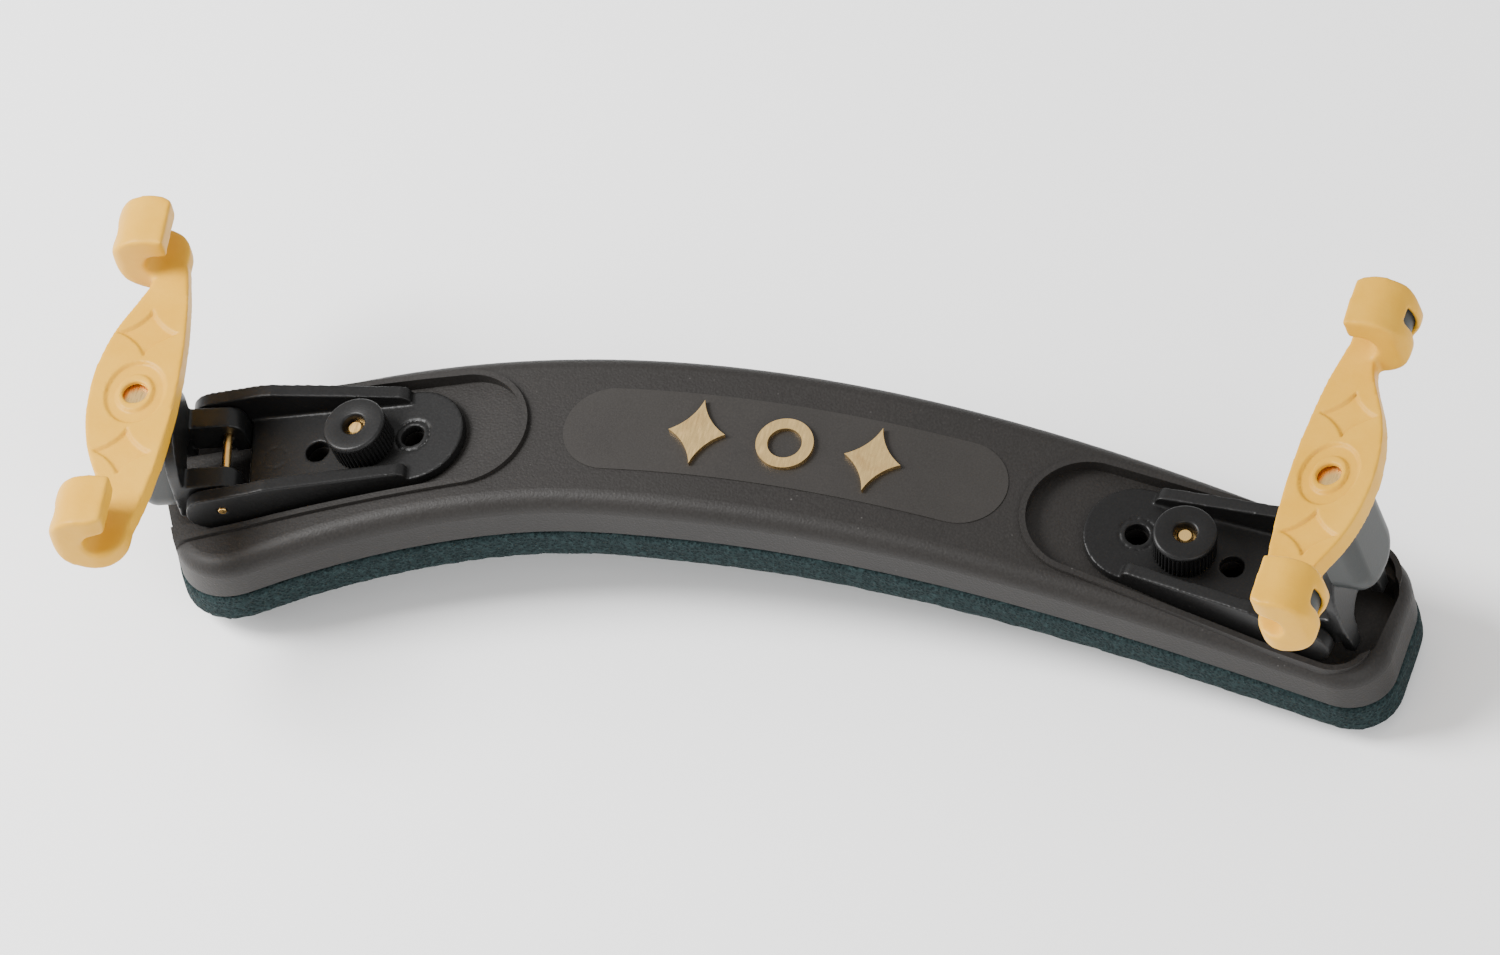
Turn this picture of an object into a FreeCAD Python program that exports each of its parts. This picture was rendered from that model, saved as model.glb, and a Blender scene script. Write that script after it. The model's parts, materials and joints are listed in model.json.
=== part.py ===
import FreeCAD, Part
import math
import os

V = FreeCAD.Vector

# ---------------------------------------------------------------- driving sizes (mm, degrees)
# Base: a bow that arches in elevation and bends in plan. Station u runs along X from the left stud.
stud_span = 151.2          # distance between the two clamp studs, along X
left_overhang = 36.0       # left stud to the left end of the base
right_overhang = 39.6      # right stud to the right end of the base
end_skew = 1.7             # both ends lean round: near side further right, far side further left
arch = (0.1959, -0.0018245, 2.883e-6)    # height of the top skin: first, second, third power of u
sway = (0.2071, -0.0017770, 2.727e-6)    # sideways bend of the centre line, same powers
base_shoulder = 2.3        # skin outside the rim at mid length
end_narrowing = 2.1        # how much narrower each half is at the ends
base_depth = 9.0           # top skin to underside
base_skin = 4.6            # top skin thickness over the hollow
base_wall = 2.8            # side wall thickness
rib_thickness = 1.8
rib_count = 7
left_corner = 5.0          # corner radius seen from above, far side
left_near_corner = 12.0
right_corner = 9.0
left_flare = 8.2           # extra width of the near side at the left end
flare_start = 35.0         # station where that flare begins
flare_shape = 1.3
top_edge_round = 3.2
adhesive_thickness = 0.25
foam_thickness = 7.6
foam_proud = 0.3           # foam stands this far outside the base outline
foam_edge_round = 1.2

# Oval panel and the three raised ornaments on it
panel_start = 45.0         # station of the panel's left end centre
panel_length = 64.5        # between its end centres
panel_half_width = 8.6
panel_proud = 0.15
panel_sink = 0.9
ornament_pitch = 16.2
ornament_half_height = 6.8
ornament_half_width = 5.2
ornament_proud = 0.9
ring_bore = 3.1            # radius of the hole in the middle ring

# Bracket: a outward from the stud, b across, h above the floor plate's top
plate_thickness = 2.0
hole_pitch = 9.0
hole_play = 0.65           # adjusting hole over the stud
relief_floor = 1.5         # skin left under a free adjusting hole
spot_ring_radius = 3.5     # shallow ring round the inner hole
spot_ring_width = 0.5
spot_ring_depth = 0.35
gate_mark_station = 17.0   # round moulding mark on the floor plate
gate_mark_radius = 2.4
gate_mark_width = 0.3
plate_end_gap = 0.1        # floor plate's end to the knuckle's ears
bracket_nose_radius = 9.6
cheek_start = -8.6
cheek_past_pin = 6.8
cheek_thickness = 2.6
cheek_half_span = 12.0     # outer face of a cheek at the hinge
cheek_low = 2.3            # cheek height at its inner end
cheek_high = 6.4
cheek_drop = 1.8           # cheek below the plate's top
pin_station = 25.2
pin_height = 2.7
pin_radius = 0.8
pin_run_clearance = 0.04
pin_proud = 0.15

# Recess that takes the bracket, with its thin raised rim
recess_nose_station = -18.3
nose_gap = 1.6             # round the bracket's nose
bracket_side_gap = 1.1
recess_corner = 6.0        # at the recess's outer end
rim_width = 1.1
rim_height = 0.9
seat_clearance = 0.05
pocket_side_gap = 1.1
pocket_end_gap = 0.7
pocket_corner = 5.0
pocket_floor = 0.8         # skin left under the end pockets

# Clamp stud and thumb nut
stud_radius = 1.5
stud_top = 5.0
stud_flange_radius = 4.0
stud_flange_thickness = 1.3
stud_boss_radius = 6.2
nut_radius = 5.75
nut_top = 6.1
nut_lift = 0.1             # nut face above the plate when clamped
nut_land = 1.0             # smooth band above the knurl
insert_wall = 0.57
insert_sink = 2.6          # top of the brass insert below the nut's face
knurl_depth = 0.35
knurl_count = 40
thread_clearance = 0.03

# Knuckle: d outward from the pin, b across, l along the leg
stop_lean = 9.0            # leg leans inward this far when it is against its stop
left_lean = 9.0
right_lean = 17.0
leg_offset = 12.5          # pin to leg axis
ear_inner = 4.35
ear_side_gap = 0.6         # ear to cheek
ear_tip = 6.4              # ears reach this far below the pin
ear_radius = 3.3
heel_drop = 1.3
heel_gap = 0.25
knuckle_wall = 2.3         # the upright plate the leg slides on
plate_gap = 0.1
arch_level = 6.0           # centre of the plate's round top
arch_rise = 2.2            # crown of the opening between the ears
ear_chamfer = 0.9
block_low = 10.3           # threaded block that enters the leg's slot
block_high = 14.1
block_wall = 0.4

# Leg, its screw and the fork
leg_thickness = 6.8
leg_width = 14.0
leg_side_round = 3.0
leg_clearance = 0.08
leg_slot_width = 5.0
leg_end_wall = 2.6         # solid above and below the slot
slot_end_gap = 0.2
spigot_radius = 3.0        # round top of the leg, inside the fork
leg_length = 29.0          # top of the fork leaf to the leg's lower end
leg_end_round = 6.3        # the bar ends in a round tongue
screw_radius = 1.6
screw_head_radius = 3.0
screw_head_thickness = 1.2
screw_head_sink = 1.5
screw_tail = 0.8
left_height = 21.0         # pin level to the top of the leaf
right_height = 36.5
left_turn = -6.8
right_turn = 6.0
leaf_thickness = 4.0
leaf_outer = 8.5           # belly, on the outward side
leaf_inner = 7.5           # nearly straight edge, on the inward side
neck_station = 24.6
neck_outer = 1.5
foot_start = 25.4
foot_width = 10.8
foot_reach = 8.6           # outward reach of the hook
foot_root = -0.5           # centre of the hook's bend
foot_back = 4.4            # inward end of the foot's floor, from the leg axis
hook_gap = 5.6
lip_thickness = 4.6
lip_end = -2.2
foot_corner = 2.6
foot_heel_corner = 5.6     # the large corner at the leaf's inward end
access_radius = 2.3        # hole in the rubber over the screw head
core_thickness = 1.6
slot_half_width = 1.7
slot_half_height = 4.2
slot_depth = 2.0           # into the core, past the rubber
turn_clearance = 0.06      # round the parts that turn with the fork

adjust_hole_radius = stud_radius + hole_play
nut_bore_radius = stud_radius + thread_clearance + insert_wall
plate_end = pin_station - ear_radius - plate_end_gap
cheek_end = pin_station + cheek_past_pin
ear_outer = cheek_half_span - cheek_thickness - ear_side_gap
recess_half_width = cheek_half_span + bracket_side_gap
recess_nose_radius = bracket_nose_radius + nose_gap
base_half_width = recess_half_width + rim_width + base_shoulder
pocket_half_width = ear_outer + pocket_side_gap
pocket_end = pin_station + leg_offset + pocket_end_gap
leg_face = leg_offset - leg_thickness / 2 - plate_gap    # outward face of the knuckle's plate
base_left = -left_overhang
base_right = stud_span + right_overhang
base_middle = (base_left + base_right) / 2
base_half_length = (base_right - base_left) / 2
far = 80.0                 # longer than any cut needs


# ---------------------------------------------------------------- helpers
def power_curve(terms, u):
    return terms[0] * u + terms[1] * u ** 2 + terms[2] * u ** 3


def power_slope(terms, u):
    return terms[0] + 2 * terms[1] * u + 3 * terms[2] * u ** 2


def spline(points):
    curve = Part.BSplineCurve()
    curve.interpolate(points)
    return curve.toShape()


def stations(start, end, step=18.0):
    count = max(4, int(math.ceil((end - start) / step)))
    return [start + (end - start) * i / count for i in range(count + 1)]


def base_half(u):
    along = (u - base_middle) / base_half_length
    return base_half_width - end_narrowing * along ** 2


def base_near(u):
    """Half width on the near side, which flares towards the left end."""
    share = max(0.0, (flare_start - u) / (flare_start - base_left))
    return base_half(u) + left_flare * share ** flare_shape


def side_point(u, offset, z):
    """A point beside the centre line, square to it, seen from above."""
    angle = math.atan(power_slope(sway, u))
    return V(u - offset * math.sin(angle), power_curve(sway, u) + offset * math.cos(angle), z)


def plan_prism(start, end, away_half, near_half, skew=0.0):
    """The bent plan outline between two stations, as a tall prism."""
    near_marks = stations(start + skew, end + skew)
    away_marks = stations(start - skew, end - skew)
    near = spline([side_point(u, -near_half(u), -far) for u in near_marks])
    away = spline([side_point(u, away_half(u), -far) for u in away_marks])
    left = Part.makeLine(away.Vertexes[0].Point, near.Vertexes[0].Point)
    right = Part.makeLine(near.Vertexes[-1].Point, away.Vertexes[-1].Point)
    wire = Part.Wire([near, right, away, left])
    return Part.Face(wire).extrude(V(0, 0, 2 * far))


def corner_kind(edge):
    """Which corner of the plan an edge stands on; empty for an edge that isn't upright."""
    if abs(edge.tangentAt(edge.FirstParameter).z) < 0.99:
        return ""
    middle = edge.BoundBox.Center
    if middle.x >= base_middle:
        return "right"
    return "away" if middle.y > power_curve(sway, middle.x) else "near"


def round_plan_corners(prism, radii):
    """Rounds the upright corners of a plan prism, each kind with its own radius."""
    for kind, radius in radii:
        prism = prism.makeFillet(radius, [e for e in prism.Edges if corner_kind(e) == kind])
    return prism


def arch_band(above, below):
    """The arched slab between two heights measured from the top skin."""
    marks = stations(base_left - 12.0, base_right + 12.0)
    upper = spline([V(u, -far, power_curve(arch, u) + above) for u in marks])
    lower = spline([V(u, -far, power_curve(arch, u) + below) for u in marks])
    left = Part.makeLine(upper.Vertexes[0].Point, lower.Vertexes[0].Point)
    right = Part.makeLine(upper.Vertexes[-1].Point, lower.Vertexes[-1].Point)
    wire = Part.Wire([upper, right, lower, left])
    return Part.Face(wire).extrude(V(0, 2 * far, 0))


def frame_at(origin, x_dir, z_dir):
    """A placement whose X and Z axes point along the two directions."""
    x_axis = V(x_dir).normalize()
    z_axis = V(z_dir).normalize()
    y_axis = z_axis.cross(x_axis)
    matrix = FreeCAD.Matrix(
        x_axis.x, y_axis.x, z_axis.x, origin.x,
        x_axis.y, y_axis.y, z_axis.y, origin.y,
        x_axis.z, y_axis.z, z_axis.z, origin.z,
        0, 0, 0, 1,
    )
    return FreeCAD.Placement(matrix)


def placed(shape, placement):
    copy = shape.copy()
    copy.Placement = placement.multiply(copy.Placement)
    return copy


def polygon_face(points):
    return Part.Face(Part.makePolygon(points + [points[0]]))


def arc(start, middle, end):
    return Part.Arc(start, middle, end).toShape()


def cylinder(radius, bottom, top, x=0.0, y=0.0):
    return Part.makeCylinder(radius, top - bottom, V(x, y, bottom))


def box(x0, x1, y0, y1, z0, z1):
    return Part.makeBox(x1 - x0, y1 - y0, z1 - z0, V(x0, y0, z0))


def bracket_frame(u, outward):
    """Local a, b, h axes of a bracket: tangent to the skin, pointing outward from the stud."""
    along = V(1, power_slope(sway, u), power_slope(arch, u)) * outward
    normal = V(-power_slope(arch, u), 0, 1)
    return frame_at(V(u, power_curve(sway, u), power_curve(arch, u)), along, normal)


def leg_frame(lean):
    """Local d, b, l axes of a knuckle, in its bracket's frame."""
    turn = FreeCAD.Rotation(V(0, 1, 0), -lean)
    return FreeCAD.Placement(V(pin_station, 0, pin_height), turn)


# ---------------------------------------------------------------- base
def nose_outline(nose_station, nose_radius, wide_half, wide_station, end, grow, z):
    """A racetrack with one round nose, widening towards a square outer end."""
    radius = nose_radius + grow
    half = wide_half + grow
    nose_top = V(nose_station, radius, z)
    nose_tip = V(nose_station - radius, 0, z)
    nose_bottom = V(nose_station, -radius, z)
    wide_top = V(wide_station, half, z)
    wide_bottom = V(wide_station, -half, z)
    end_top = V(end, half, z)
    end_bottom = V(end, -half, z)
    edges = [
        arc(nose_top, nose_tip, nose_bottom),
        Part.makeLine(nose_bottom, wide_bottom),
        Part.makeLine(wide_bottom, end_bottom),
        Part.makeLine(end_bottom, end_top),
        Part.makeLine(end_top, wide_top),
        Part.makeLine(wide_top, nose_top),
    ]
    return Part.Face(Part.Wire(edges))


def recess_prism(grow, floor, end):
    face = nose_outline(recess_nose_station, recess_nose_radius, recess_half_width,
                        pin_station - ear_radius, end + grow, grow, floor)
    prism = face.extrude(V(0, 0, far))
    outer = [e for e in prism.Edges
             if abs(e.tangentAt(e.FirstParameter).z) > 0.99
             and abs(e.BoundBox.Center.x - end - grow) < 0.01]
    return prism.makeFillet(recess_corner + grow, outer)


def end_pocket(end, low):
    pocket = box(plate_end, end, -pocket_half_width, pocket_half_width, low, far / 4)
    outer = [e for e in pocket.Edges
             if abs(e.tangentAt(e.FirstParameter).z) > 0.99 and e.BoundBox.Center.x > end - 1]
    return pocket.makeFillet(pocket_corner, outer)


def base_outline(grow):
    prism = plan_prism(base_left - grow, base_right + grow, lambda u: base_half(u) + grow,
                       lambda u: base_near(u) + grow, end_skew)
    radii = (("away", left_corner + grow), ("near", left_near_corner + grow),
             ("right", right_corner + grow))
    return round_plan_corners(prism, radii)


def make_base(places, recess_ends, pockets):
    outline = base_outline(0.0)
    body = outline.common(arch_band(0, -base_depth))
    rim_edges = [e for e in body.Edges if is_top_edge(e)]
    body = body.makeFillet(top_edge_round, rim_edges)
    hollow = base_outline(-base_wall).common(arch_band(-base_skin, -2 * base_depth))
    keep = make_ribs()
    raised = arch_band(rim_height, -base_skin)
    for place, recess_end, (pocket, low) in zip(places, recess_ends, pockets):
        keep.append(placed(cylinder(stud_boss_radius, -far, far), place))
        surround = box(plate_end - base_wall, pocket + base_wall,
                       -pocket_half_width - base_wall, pocket_half_width + base_wall, -far, far)
        keep.append(placed(surround, place))
        collar = placed(recess_prism(rim_width, -base_skin, recess_end), place)
        body = body.fuse(collar.common(raised).common(outline))
    hollow = hollow.cut(Part.makeCompound(keep))
    body = body.cut(hollow)
    for place, recess_end, (pocket, low) in zip(places, recess_ends, pockets):
        floor = -plate_thickness - seat_clearance
        body = body.cut(placed(recess_prism(0.0, floor, recess_end), place))
        body = body.cut(placed(end_pocket(pocket, low), place))
        body = body.cut(placed(cylinder(stud_radius, -far, far), place))
        for index in (-1, 1):
            relief = cylinder(adjust_hole_radius, relief_floor - base_depth, far, index * hole_pitch)
            body = body.cut(placed(relief, place))
        flange_low = -base_depth - 1.0
        flange_high = -base_depth + stud_flange_thickness + 1.0
        seat = cylinder(stud_flange_radius + seat_clearance, flange_low, flange_high)
        body = body.cut(placed(seat, place))
    body = body.cut(panel_prism().common(arch_band(panel_proud, -panel_sink)))
    return largest_solid(body.removeSplitter())


def is_top_edge(edge):
    """True for the edges between the arched top skin and the side walls."""
    middle = edge.valueAt((edge.FirstParameter + edge.LastParameter) / 2)
    return abs(middle.z - power_curve(arch, middle.x)) < 0.05


def largest_solid(shape):
    return max(shape.Solids, key=lambda s: s.Volume)


def make_ribs():
    ribs = []
    for i in range(rib_count):
        u = base_left + (base_right - base_left) * (i + 1) / (rib_count + 1)
        ribs.append(box(u - rib_thickness / 2, u + rib_thickness / 2, -far, far, -far, far))
    return ribs


def make_foam():
    under = -base_depth - adhesive_thickness
    pad = base_outline(foam_proud).common(arch_band(under, under - foam_thickness))
    lower = [e for e in pad.Edges if is_foam_low_edge(e, under - foam_thickness)]
    return pad.makeFillet(foam_edge_round, lower)


def is_foam_low_edge(edge, level):
    middle = edge.valueAt((edge.FirstParameter + edge.LastParameter) / 2)
    return abs(middle.z - power_curve(arch, middle.x) - level) < 0.05


def make_adhesive(places, pockets):
    sheet = base_outline(-0.4).common(arch_band(-base_depth, -base_depth - adhesive_thickness))
    for place, (pocket, low) in zip(places, pockets):
        sheet = sheet.cut(placed(end_pocket(pocket, low), place))
    return largest_solid(sheet)


# ---------------------------------------------------------------- panel and ornaments
def panel_prism():
    end = panel_start + panel_length
    prism = plan_prism(panel_start, end, lambda u: panel_half_width, lambda u: panel_half_width)
    for u in (panel_start, end):
        cap = cylinder(panel_half_width, -far, far, u, power_curve(sway, u))
        prism = prism.fuse(cap)
    return prism.removeSplitter()


def make_panel():
    return largest_solid(panel_prism().common(arch_band(panel_proud, -panel_sink)))


def lozenge(u):
    """A four-pointed ornament with hollow sides, centred on the bent centre line."""
    tips = [side_point(u, ornament_half_height, -far),
            side_point(u + ornament_half_width, 0, -far),
            side_point(u, -ornament_half_height, -far),
            side_point(u - ornament_half_width, 0, -far)]
    centre = side_point(u, 0, -far)
    edges = []
    for i in range(4):
        start = tips[i]
        end = tips[(i + 1) % 4]
        middle = (start + end) * 0.5
        edges.append(arc(start, middle + (centre - middle) * 0.22, end))
    return Part.Face(Part.Wire(edges)).extrude(V(0, 0, 2 * far))


def make_ornaments():
    middle = panel_start + panel_length / 2
    slab = arch_band(panel_proud + ornament_proud, panel_proud)
    centre = side_point(middle, 0, 0)
    ring = cylinder(ornament_half_width, -far, far, centre.x, centre.y)
    ring = ring.cut(cylinder(ring_bore, -far, far, centre.x, centre.y))
    prisms = [lozenge(middle - ornament_pitch), ring, lozenge(middle + ornament_pitch)]
    return Part.makeCompound([p.common(slab).Solids[0] for p in prisms])


# ---------------------------------------------------------------- bracket
def cheek_profile():
    """Side view of a cheek: low and rounded inside, high at the hinge."""
    low_radius = (cheek_low + cheek_drop) / 2
    high_radius = (cheek_high + cheek_drop) / 2
    inner = cheek_start + low_radius
    outer = cheek_end - high_radius
    shoulder = pin_station - 9.0
    points = {
        "inner_top": V(inner, -far, cheek_low),
        "inner_tip": V(cheek_start, -far, cheek_low - low_radius),
        "inner_low": V(inner, -far, -cheek_drop),
        "outer_low": V(outer, -far, -cheek_drop),
        "outer_tip": V(cheek_end, -far, cheek_high - high_radius),
        "outer_top": V(outer, -far, cheek_high),
        "shoulder": V(shoulder, -far, cheek_high),
    }
    p = points
    edges = [
        arc(p["inner_top"], p["inner_tip"], p["inner_low"]),
        Part.makeLine(p["inner_low"], p["outer_low"]),
        arc(p["outer_low"], p["outer_tip"], p["outer_top"]),
        Part.makeLine(p["outer_top"], p["shoulder"]),
        Part.makeLine(p["shoulder"], p["inner_top"]),
    ]
    return Part.Face(Part.Wire(edges)).extrude(V(0, 2 * far, 0))


def bracket_half(a):
    """Half width of the bracket at a distance from the stud."""
    share = min(1.0, max(0.0, (a - cheek_start) / (pin_station - 6.0 - cheek_start)))
    return bracket_nose_radius + (cheek_half_span - bracket_nose_radius) * share


def make_bracket():
    wide = pin_station - 6.0
    plate_outline = nose_outline(-hole_pitch, bracket_nose_radius, cheek_half_span, wide,
                                 plate_end, 0.0, -plate_thickness)
    plate = plate_outline.extrude(V(0, 0, plate_thickness))
    strips = []
    for side in (-1, 1):
        outer = [V(a, side * bracket_half(a), -far) for a in (cheek_start, wide, cheek_end)]
        inner = [V(a, side * (bracket_half(a) - cheek_thickness), -far)
                 for a in (cheek_end, wide, cheek_start)]
        strips.append(polygon_face(outer + inner).extrude(V(0, 0, 2 * far)))
    profile = cheek_profile()
    body = plate
    for strip in strips:
        body = body.fuse(strip.common(profile))
    for index in (-1, 0, 1):
        hole = cylinder(adjust_hole_radius, -far, far, index * hole_pitch)
        body = body.cut(hole)
    rings = ((-hole_pitch, spot_ring_radius, spot_ring_width, spot_ring_depth),
             (gate_mark_station, gate_mark_radius, gate_mark_width, spot_ring_depth / 2))
    for station, radius, width, depth in rings:
        groove = cylinder(radius, -depth, 1, station).cut(cylinder(radius - width, -far, far, station))
        body = body.cut(groove)
    pin_hole = Part.makeCylinder(pin_radius, 2 * far, V(pin_station, -far, pin_height), V(0, 1, 0))
    return largest_solid(body.cut(pin_hole).removeSplitter())


def make_pin():
    half = cheek_half_span + pin_proud
    pin = Part.makeCylinder(pin_radius, 2 * half, V(pin_station, -half, pin_height), V(0, 1, 0))
    return pin.makeFillet(pin_proud, [e for e in pin.Edges if e.Curve.TypeId == "Part::GeomCircle"])


# ---------------------------------------------------------------- clamp stud and thumb nut
def make_stud():
    bottom = -base_depth - 1.0 + stud_flange_thickness
    shaft = cylinder(stud_radius, bottom, stud_top)
    tip = [e for e in shaft.Edges if e.BoundBox.Center.z > stud_top - 0.01]
    shaft = shaft.makeChamfer(0.35, tip[:1])
    flange = cylinder(stud_flange_radius, bottom, bottom + stud_flange_thickness)
    return shaft.fuse(flange).removeSplitter()


def make_nut():
    points = []
    for i in range(2 * knurl_count):
        angle = math.pi * i / knurl_count
        radius = nut_radius - knurl_depth * (i % 2)
        points.append(V(radius * math.cos(angle), radius * math.sin(angle), nut_lift))
    land = nut_top - nut_land
    knurled = polygon_face(points).extrude(V(0, 0, land - nut_lift))
    cap = cylinder(nut_radius, land, nut_top)
    rim = [e for e in cap.Edges if e.BoundBox.ZMin > nut_top - 0.01]
    cap = cap.makeFillet(nut_land * 0.6, rim)
    bore = cylinder(nut_bore_radius, -1, nut_top + 1)
    return knurled.fuse(cap).cut(bore)


def make_nut_insert():
    ring = cylinder(nut_bore_radius, nut_lift, nut_top - insert_sink)
    return ring.cut(cylinder(stud_radius + thread_clearance, -1, nut_top))


# ---------------------------------------------------------------- knuckle
def knuckle_plate(back):
    """The upright plate: round top, two pointed ears below, an arch between them."""
    outline = [
        arc(V(back, -ear_outer, arch_level), V(back, 0, arch_level + ear_outer),
            V(back, ear_outer, arch_level)),
    ]
    corners = [V(back, ear_outer, arch_level), V(back, ear_outer, 0),
               V(back, ear_outer - ear_chamfer, -ear_tip), V(back, ear_inner + ear_chamfer, -ear_tip),
               V(back, ear_inner, 0)]
    mirrored = [V(p.x, -p.y, p.z) for p in reversed(corners)]
    for points in (corners, mirrored):
        outline += [Part.makeLine(points[i], points[i + 1]) for i in range(len(points) - 1)]
    outline.append(arc(corners[-1], V(back, 0, arch_rise), mirrored[0]))
    wire = Part.Wire(Part.__sortEdges__(outline))
    return Part.Face(wire).extrude(V(knuckle_wall, 0, 0))


def make_knuckle():
    back = leg_face - knuckle_wall
    body = knuckle_plate(back)
    for side in (-1, 1):
        low = min(side * ear_inner, side * ear_outer)
        high = max(side * ear_inner, side * ear_outer)
        disc = Part.makeCylinder(ear_radius, high - low, V(0, low, 0), V(0, 1, 0))
        arm = box(0, back, low, high, -ear_radius, ear_radius)
        heel = box(plate_end + heel_gap - pin_station, 0, low, high, -ear_radius - heel_drop, 0)
        heel.rotate(V(0, 0, 0), V(0, 1, 0), stop_lean)
        body = body.fuse(disc).fuse(arm).fuse(heel)
    half = leg_slot_width / 2 - leg_clearance
    nose = leg_offset + screw_radius + block_wall
    body = body.fuse(box(back, nose, -half, half, block_low, block_high))
    bore = cylinder(screw_radius + turn_clearance, -far, far, leg_offset)
    hole = Part.makeCylinder(pin_radius + pin_run_clearance, 2 * far, V(0, -far, 0), V(0, 1, 0))
    return largest_solid(body.cut(bore).cut(hole).removeSplitter())


# ---------------------------------------------------------------- leg and fork
def make_leg(top):
    """A flat bar with a slot for the knuckle's block and a round spigot for the fork to turn on."""
    bottom = top - leg_length
    shoulder = top - leaf_thickness - turn_clearance
    half = leg_thickness / 2
    bar = box(-half, half, -leg_width / 2, leg_width / 2, bottom, shoulder)
    lower = [e for e in bar.Edges if e.BoundBox.ZMax < bottom + 0.01 and e.BoundBox.XLength > half]
    bar = bar.makeFillet(leg_end_round, lower)
    outer = [e for e in bar.Edges if e.BoundBox.XMin > half - 0.01 and e.BoundBox.ZMin < shoulder - 0.01]
    bar = bar.makeFillet(leg_side_round, outer)
    reach = screw_radius + block_wall + slot_end_gap
    slot = box(-far, reach, -leg_slot_width / 2, leg_slot_width / 2,
               bottom + leg_end_wall, shoulder - leg_end_wall)
    under_core = top - (leaf_thickness + core_thickness) / 2 - turn_clearance
    spigot = cylinder(spigot_radius, shoulder - leg_end_wall / 2, under_core)
    leg = bar.fuse(spigot).cut(slot).cut(cylinder(screw_radius + turn_clearance, -far, far))
    leg.translate(V(leg_offset, 0, 0))
    return largest_solid(leg)


def make_leg_screw(top):
    head_top = top - screw_head_sink
    tail = top - leg_length - screw_tail
    screw = cylinder(screw_radius, tail, head_top)
    head = cylinder(screw_head_radius, head_top - screw_head_thickness, head_top)
    screw = screw.fuse(head).removeSplitter()
    screw.translate(V(leg_offset, 0, 0))
    return screw


def leaf_face(inset, z):
    """The leaf seen from above: outward belly, nearly straight inward edge."""
    end = foot_start + foot_corner
    shoulder = neck_station * 0.62
    belly = leaf_outer - inset
    waist = neck_outer - inset
    inner = -(leaf_inner - inset)
    inner_end = -(foot_back + 0.2 - inset)
    swell = (belly + waist) / 2 + 0.4
    outer = spline([V(waist, -end, z), V(waist, -neck_station, z), V(swell, -shoulder, z),
                    V(belly, 0, z), V(swell, shoulder, z), V(waist, neck_station, z),
                    V(waist, end, z)])
    edge = arc(V(inner_end, end, z), V(inner, 0, z), V(inner_end, -end, z))
    top = Part.makeLine(V(waist, end, z), V(inner_end, end, z))
    bottom = Part.makeLine(V(inner_end, -end, z), V(waist, -end, z))
    return Part.Face(Part.Wire([outer, top, edge, bottom]))


def hook_profile(inset, b):
    """The C of a foot, in the d and l plane: leaf below, bend outside, lip above."""
    low = -leaf_thickness + inset
    high = hook_gap + lip_thickness - inset
    outer_radius = (high - low) / 2
    inner_low = -inset
    inner_high = hook_gap + inset
    inner_radius = (inner_high - inner_low) / 2
    root_out = foot_reach - inset - outer_radius
    tip = lip_end + inset
    back = -foot_back - 1
    outer_mid = (high + low) / 2
    inner_mid = (inner_high + inner_low) / 2
    edges = [
        Part.makeLine(V(back, b, low), V(root_out, b, low)),
        arc(V(root_out, b, low), V(root_out + outer_radius, b, outer_mid), V(root_out, b, high)),
        Part.makeLine(V(root_out, b, high), V(tip, b, high)),
        Part.makeLine(V(tip, b, high), V(tip, b, inner_high)),
        Part.makeLine(V(tip, b, inner_high), V(foot_root, b, inner_high)),
        arc(V(foot_root, b, inner_high), V(foot_root + inner_radius, b, inner_mid),
            V(foot_root, b, inner_low)),
        Part.makeLine(V(foot_root, b, inner_low), V(back, b, inner_low)),
        Part.makeLine(V(back, b, inner_low), V(back, b, low)),
    ]
    return Part.Face(Part.Wire(edges))


def foot_plan(side, inset):
    """A foot seen from above: a rounded block whose inward outer corner is the largest."""
    near = side * (foot_start + inset)
    away = side * (foot_start + foot_width - inset)
    prism = box(-foot_back + inset, foot_reach - inset, min(near, away), max(near, away),
                -far / 4, far / 4)
    uprights = [e for e in prism.Edges if abs(e.tangentAt(e.FirstParameter).z) > 0.99]
    front = [e for e in uprights if e.BoundBox.Center.x > 0]
    prism = prism.makeFillet(foot_corner - inset, front)
    heel = [e for e in prism.Edges
            if abs(e.tangentAt(e.FirstParameter).z) > 0.99
            and abs(e.BoundBox.Center.y - away) < 0.01
            and e.BoundBox.Center.x < -foot_back + inset + 0.01]
    return prism.makeFillet(foot_heel_corner - inset, heel)


def hook(side, inset):
    sweep = hook_profile(inset, side * foot_start).extrude(V(0, side * foot_width, 0))
    return sweep.common(foot_plan(side, inset))


def fork_solid(inset):
    body = leaf_face(inset, -leaf_thickness + inset).extrude(V(0, 0, leaf_thickness - 2 * inset))
    for side in (-1, 1):
        body = body.fuse(hook(side, inset))
    return body.removeSplitter()


def make_fork_core(top):
    inset = (leaf_thickness - core_thickness) / 2
    body = fork_solid(inset)
    body = body.cut(cylinder(screw_radius, -far, far))
    head_seat = -screw_head_sink - screw_head_thickness
    body = body.cut(cylinder(screw_head_radius, head_seat, far))
    body.translate(V(leg_offset, 0, top))
    return largest_solid(body)


def make_fork_cover(top):
    inset = (leaf_thickness - core_thickness) / 2
    body = fork_solid(0.0).cut(fork_solid(inset))
    body = body.cut(cylinder(access_radius, -leaf_thickness / 2, far))
    body = body.cut(cylinder(spigot_radius + turn_clearance, -far, -leaf_thickness / 2))
    middle = (hook_gap - inset) / 2
    for side in (-1, 1):
        b = side * (foot_start + foot_width / 2)
        window = box(foot_reach - inset - slot_depth, far, b - slot_half_width, b + slot_half_width,
                     middle - slot_half_height, middle + slot_half_height)
        body = body.cut(window)
    body.translate(V(leg_offset, 0, top))
    return largest_solid(body)


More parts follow.
